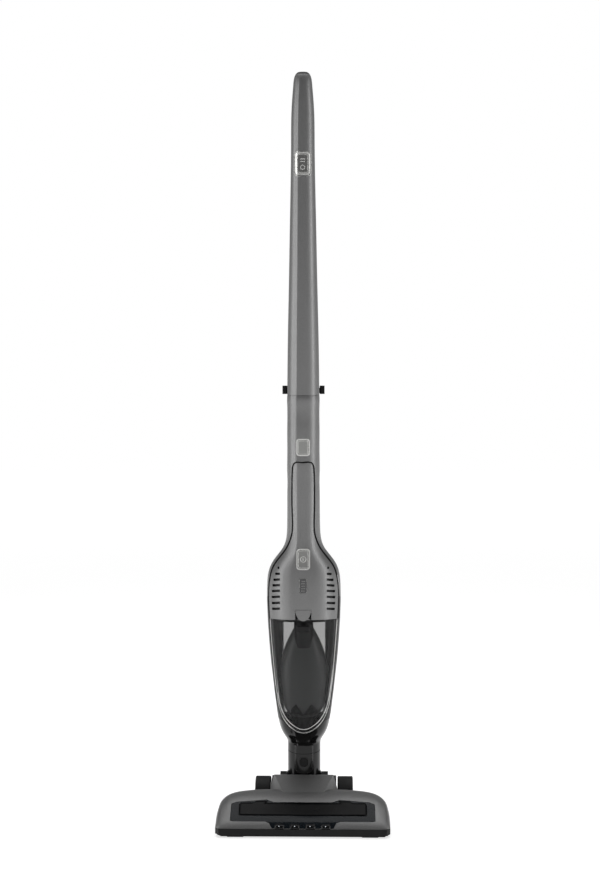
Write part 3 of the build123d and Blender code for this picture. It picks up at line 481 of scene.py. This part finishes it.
def outline_bead(name, start, inset, low_inset, w, h, mat, body, names):
    half = [(z, x) for z, x in smooth_line([p for p in OUTLINE if p[0] <= start])]
    path = []
    for side in (-1, 1):
        row = []
        for i, (z, x) in enumerate(half):
            a_, b_ = half[max(i - 1, 0)], half[min(i + 1, len(half) - 1)]
            tz, tx = b_[0] - a_[0], b_[1] - a_[1]
            L = math.hypot(tz, tx) or 1.0
            low = max(0.0, min(1.0, (start - z) / (start - 88.4)))
            off = inset + (low_inset - inset) * low ** 1.5
            nz, nx = (-tx / L, tz / L)
            if nx > 0 or (abs(nx) < 1e-6 and nz < 0):
                nz, nx = -nz, -nx
            if i == len(half) - 1:
                nz, nx = 1.0, 0.0
            zz, xx = z + nz * off, max(x + nx * off, 0.0)
            hit = first_hit(names, st(side * xx, -100, zz + 100 * TS), (ROT @ Vector((0, 1, -TS))).normalized())
            if hit and (not row or (hit[0] - row[-1][0]).length > 0.0012):
                row.append(hit)
        path.append(row)
    full = path[0] + list(reversed(path[1]))
    clean = [full[0]]
    for q in full[1:]:
        if 0.0008 < (q[0] - clean[-1][0]).length < 0.02:
            clean.append(q)
    if len(clean) > 4:
        ring_wall(name, clean, w / 1000, h / 1000, mat, body, False)


SKIN = ["container_shell", "container_rim"]
# silver bead along the container's outline: a real chrome lip at the bottom, and along the sides a painted highlight
# on the dark rim's front edge
outline_bead("container_trim_and_painted_highlight_outer", 300, 0.7, 0.9, 2.6, 0.3, MAT["rim_silver"], "dust_container", SKIN)
# painted highlight: a silver bead inside the container's lower outline stands in for the light on the container's
# bottom edge
outline_bead("container_painted_highlight_inner", 165, 2.6, 7.0, 1.9, 0.3, MAT["rim_silver"], "dust_container", SKIN)


def surface_patch(name, names, grid, lift, mat, body, direction, origin):
    """A thin skin over CAD surfaces; grid rows are lists of (a, b) and origin turns one into a ray start."""
    verts, faces = [], []
    rows = []
    for row in grid:
        r_ = []
        for p in row:
            hit = first_hit(names, origin(*p), direction)
            if hit is None:
                r_.append(None)
            else:
                r_.append(len(verts))
                verts.append(hit[0] + hit[1] * lift)
                verts.append(hit[0] - hit[1] * 0.0002)
        rows.append(r_)
    for i in range(len(rows) - 1):
        for j in range(len(rows[i]) - 1):
            q = (rows[i][j], rows[i][j + 1], rows[i + 1][j + 1], rows[i + 1][j])
            if None in q:
                continue
            if max((verts[q[k]] - verts[q[(k + 1) % 4]]).length for k in range(4)) > 0.03:
                continue
            faces.append(q)
            faces.append(tuple(k + 1 for k in reversed(q)))
    edge = {}
    for f in faces:
        for k in range(4):
            e = (f[k], f[(k + 1) % 4])
            edge[e] = f
    for (a_, b_) in list(edge):
        if (b_, a_) not in edge and a_ % 2 == 0:
            faces.append((b_, a_, a_ + 1, b_ + 1))
    if faces:
        return mesh_obj(name, verts, faces, mat, body)


SLIDE_DIR = (ROT @ Vector((0, 1, 0))).normalized()
# dark plastic for the filter's foot lobes, and painted shade for the filter's top, the gap behind the catch's tongue
# and the shadow under the catch
dark_plastic_and_painted_shade = plastic("filter_dark_plastic_and_painted_shade", (0.004, 0.004, 0.0045), 0.35, 900, 0.0, 0.08, 0.25)


def lobes(x):
    a_ = abs(x)
    top = 140.0 - 17.0 * (abs(a_ - 12.6) / 12.6) ** 1.15 if a_ <= 12.6 else 140.0 - 24.0 * ((a_ - 12.6) / 15.0) ** 1.1
    return max(top, 101.0)


xs = [-26 + 52 * i / 40 for i in range(41)]
surface_patch("filter_foot_lobes", ["filter_cone"], [[(x, 98.0 + (lobes(x) - 98.0) * k / 6) for x in xs] for k in range(7)], 0.0005,
              dark_plastic_and_painted_shade, "dust_container", SLIDE_DIR, lambda x, z: st(x, -100, z))

# painted shade: a dark half-shell that stands in front of the filter's top, inside the container, for the shade on the
# filter's neck
def strip(name, rings, mat, body):
    """A closed bar through rings of four points each."""
    verts = [v for r_ in rings for v in r_]
    last = 4 * (len(rings) - 1)
    faces = [(0, 1, 2, 3), (last + 3, last + 2, last + 1, last)]
    for i in range(len(rings) - 1):
        for k in range(4):
            a_, b_ = 4 * i + k, 4 * i + (k + 1) % 4
            faces.append((b_, a_, a_ + 4, b_ + 4))
    return mesh_obj(name, verts, faces, mat, body, smooth=False)


rings_ = []
for i in range(33):
    th = math.pi * (1 + i / 32)
    c_, s_ = math.cos(th), math.sin(th)
    rings_.append([st(r_ * c_, -23.5 + r_ * s_, z_) for r_, z_ in ((15.0, 228.0), (15.0, 269.4), (14.3, 269.4), (14.3, 228.0))])
strip("filter_top_painted_shade", rings_, dark_plastic_and_painted_shade, "dust_container")
# painted shade: a thin dark sheet at the seal behind the catch's tongue, where the gap lies in shade
rings_ = []
for i in range(25):
    x_ = -12.4 + 24.8 * i / 24
    hang = 291.3 - 16.9 * math.sqrt(max(0.0, 1 - (x_ / 11.9) ** 2))
    rings_.append([st(x_, y_, z_) for y_, z_ in ((-45.5, 269.6), (-45.5, min(274.2, hang - 2.0)), (-45.1, min(274.2, hang - 2.0)), (-45.1, 269.6))])
strip("tongue_gap_painted_shade", rings_, dark_plastic_and_painted_shade, "dust_container")
# painted shadow under the catch: a dark skin on the container's front
surface_patch("catch_painted_shadow", ["container_shell"], [[(-10.0 + 20.0 * j / 10, 258.0 + 9.0 * k / 5) for j in range(11)] for k in range(6)], 0.0001,
              dark_plastic_and_painted_shade, "dust_container", SLIDE_DIR, lambda x, z: st(x, -100, z))
# bezel line round the handle switch
bead("switch_bezel", "handle_front", rr_pts(0, 961.6, 25.0, 36.4, 6.0), 1.5, 0.35, MAT["satin_trim"], "handle")


# ------------------------------------------------------------------ floor head details
FRONT_SKIN = ["head_window", "head_cover"]
AHEAD = Vector((0, 1, 0))


def head_ray(x, z):
    return Vector((x / 1000, -0.3, z / 1000))


# painted shade: a near-black skin over the head's window stands in for the shade in the brush chamber behind it
chamber = plastic("chamber_painted_shade", (0.0012, 0.0012, 0.0015), 0.3, 900, 0.0, 0.08, 0.12)
housing = plastic("lamp_housing", (0.004, 0.0045, 0.005), 0.2, 900, 0.01, 0.08, 0.5)
cols = 60
rows_ = []
for k in range(9):
    z = 28.5 + 15.5 * k / 8
    lim = 96.0 if z < 40.5 else 96.0 - (z - 40.5) * 2.2
    rows_.append([(-lim + 2 * lim * i / cols, z) for i in range(cols + 1)])
surface_patch("window_chamber_shade", ["head_window"], rows_, 0.00025, chamber, "head", AHEAD, head_ray)
for i_, x_ in enumerate((-34.5, -11.5, 11.5, 34.5)):
    pts_ = []
    for px_, pz_ in rr_pts(x_, 16.0, 14.0, 6.4, 2.6):
        h_ = first_hit(FRONT_SKIN, head_ray(px_, pz_), AHEAD)
        if h_:
            pts_.append(h_)
    if len(pts_) > 8:
        ring_wall(f"headlight_rim_{i_}", pts_, 0.0009, 0.0004, housing, "head")
    surface_patch(f"headlight_face_{i_}", FRONT_SKIN, [[(x_ - 6.2 + 12.4 * j / 8, 13.6 + 4.8 * k / 4) for j in range(9)] for k in range(5)], 0.00022,
                  housing, "head", AHEAD, head_ray)
    h_ = first_hit(FRONT_SKIN, head_ray(x_ - 0.4, 16.6), AHEAD)
    if h_:
        dome(f"headlight_emitter_{i_}", h_[0] + h_[1] * 0.0002, h_[1], 0.0007, 0.0004, lamp_mat, "head")


# ------------------------------------------------------------------ stage
def flat(name, size, z, mat):
    me = bpy.data.meshes.new(name)
    s = size / 2
    me.from_pydata([(-s, -s, z), (s, -s, z), (s, s, z), (-s, s, z)], [], [(0, 1, 2, 3)])
    o = bpy.data.objects.new(name, me)
    scene.collection.objects.link(o)
    me.materials.append(mat)
    return o


fm, nt, b = new_mat("studio_floor")
v = coords(nt)
nt.links.new(ramp(nt, noise(nt, v, 3, 3), [(0.3, 0.86), (0.7, 0.88)]), b.inputs["Base Color"])
b.inputs["Roughness"].default_value = 0.05
b.inputs["Specular IOR Level"].default_value = 0.5
b.inputs["Emission Color"].default_value = (1, 1, 1, 1)
b.inputs["Emission Strength"].default_value = 0.66
flat("studio_floor", 60.0, 0.0, fm)

w = bpy.data.worlds.new("studio")
scene.world = w
w.use_nodes = True
nt = w.node_tree
nt.nodes.clear()
out = nt.nodes.new("ShaderNodeOutputWorld")
bg = nt.nodes.new("ShaderNodeBackground")
bgc = nt.nodes.new("ShaderNodeBackground")
bgc.inputs[0].default_value = (1, 1, 1, 1)
bgc.inputs[1].default_value = 1.0
tc = nt.nodes.new("ShaderNodeTexCoord")
sep = nt.nodes.new("ShaderNodeSeparateXYZ")
nt.links.new(tc.outputs["Generated"], sep.inputs[0])
mr = nt.nodes.new("ShaderNodeMapRange")
mr.interpolation_type = "SMOOTHSTEP"
mr.inputs["From Min"].default_value = -0.93
mr.inputs["From Max"].default_value = 0.05
mr.inputs["To Min"].default_value = 0.035
mr.inputs["To Max"].default_value = 0.55
nt.links.new(sep.outputs["Y"], mr.inputs["Value"])
up = nt.nodes.new("ShaderNodeMapRange")
up.interpolation_type = "SMOOTHSTEP"
up.inputs["From Min"].default_value = 0.02
up.inputs["From Max"].default_value = 0.5
up.inputs["To Min"].default_value = 1.0
up.inputs["To Max"].default_value = 0.5
nt.links.new(sep.outputs["Z"], up.inputs["Value"])
mul = nt.nodes.new("ShaderNodeMath")
mul.operation = "MULTIPLY"
nt.links.new(mr.outputs[0], mul.inputs[0])
nt.links.new(up.outputs[0], mul.inputs[1])
nt.links.new(mul.outputs[0], bg.inputs[1])
lp = nt.nodes.new("ShaderNodeLightPath")
mx = nt.nodes.new("ShaderNodeMixShader")
nt.links.new(lp.outputs["Is Camera Ray"], mx.inputs[0])
nt.links.new(bg.outputs[0], mx.inputs[1])
nt.links.new(bgc.outputs[0], mx.inputs[2])
nt.links.new(mx.outputs[0], out.inputs[0])


def area(name, loc, target, size, size_y, power):
    l = bpy.data.lights.new(name, "AREA")
    l.shape = "RECTANGLE"
    l.size, l.size_y = size, size_y
    l.energy = power
    o = bpy.data.objects.new(name, l)
    scene.collection.objects.link(o)
    o.location = loc
    o.rotation_euler = (Vector(target) - Vector(loc)).to_track_quat("-Z", "Y").to_euler()
    return o


area("softbox_left", (-2.3, -1.0, 0.95), (0, 0, 0.55), 0.42, 2.0, 20)
area("softbox_right", (2.3, -1.0, 0.95), (0, 0, 0.55), 0.42, 2.0, 20)
area("top_soft", (0, 0.2, 3.0), (0, 0, 0.0), 2.4, 2.4, 30)

cam = bpy.data.cameras.new("camera")
co = bpy.data.objects.new("camera", cam)
scene.collection.objects.link(co)
cam.lens = 50.0
cam.sensor_width = 36.0
co.location = (0.0378, -1.9195, 0.575)
co.rotation_euler = (math.radians(90), 0, math.radians(1.1))
cam.shift_x = -4.2 / 896
cam.shift_y = 1.2 / 896
cam.clip_end = 200
scene.camera = co
scene.view_settings.view_transform = "Standard"
scene.view_settings.look = "None"
scene.view_settings.exposure = 0.0
scene.view_settings.gamma = 1.0
scene.cycles.transmission_bounces = 14
scene.cycles.transparent_max_bounces = 16
scene.cycles.max_bounces = 18
